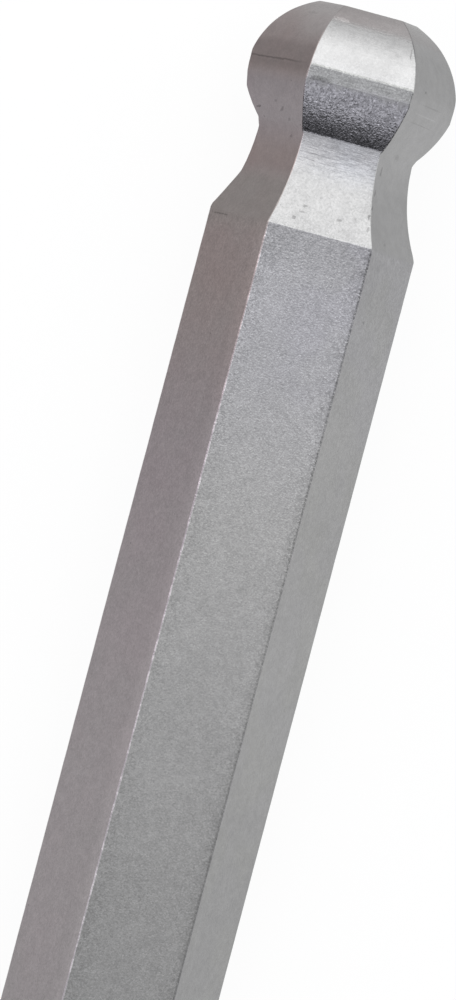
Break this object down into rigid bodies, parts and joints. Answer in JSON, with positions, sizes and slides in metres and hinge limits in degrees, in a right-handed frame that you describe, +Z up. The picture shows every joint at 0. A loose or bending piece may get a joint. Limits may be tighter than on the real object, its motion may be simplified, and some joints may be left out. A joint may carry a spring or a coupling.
{
  "type": "hex key",
  "caption": "L-shaped hex key of hexagonal steel bar, with a six-sided ball end and necked shank on the long arm and a plain chamfered end on the short arm.",
  "frame": {"origin": "on the surface the key lies on, under the middle of its bounding box", "axes": "+X along the long arm towards the ball end, +Y the way the short arm points, +Z up out of the surface, square to the plane of the bend"},
  "size_m": [0.16, 0.036, 0.008],
  "materials": {
    "steel": "satin bare steel with a fine, even grain, smoother on the milled ball and neck"
  },
  "bodies": {
    "root": {"hex_key": "steel"}
  },
  "joints": []
}
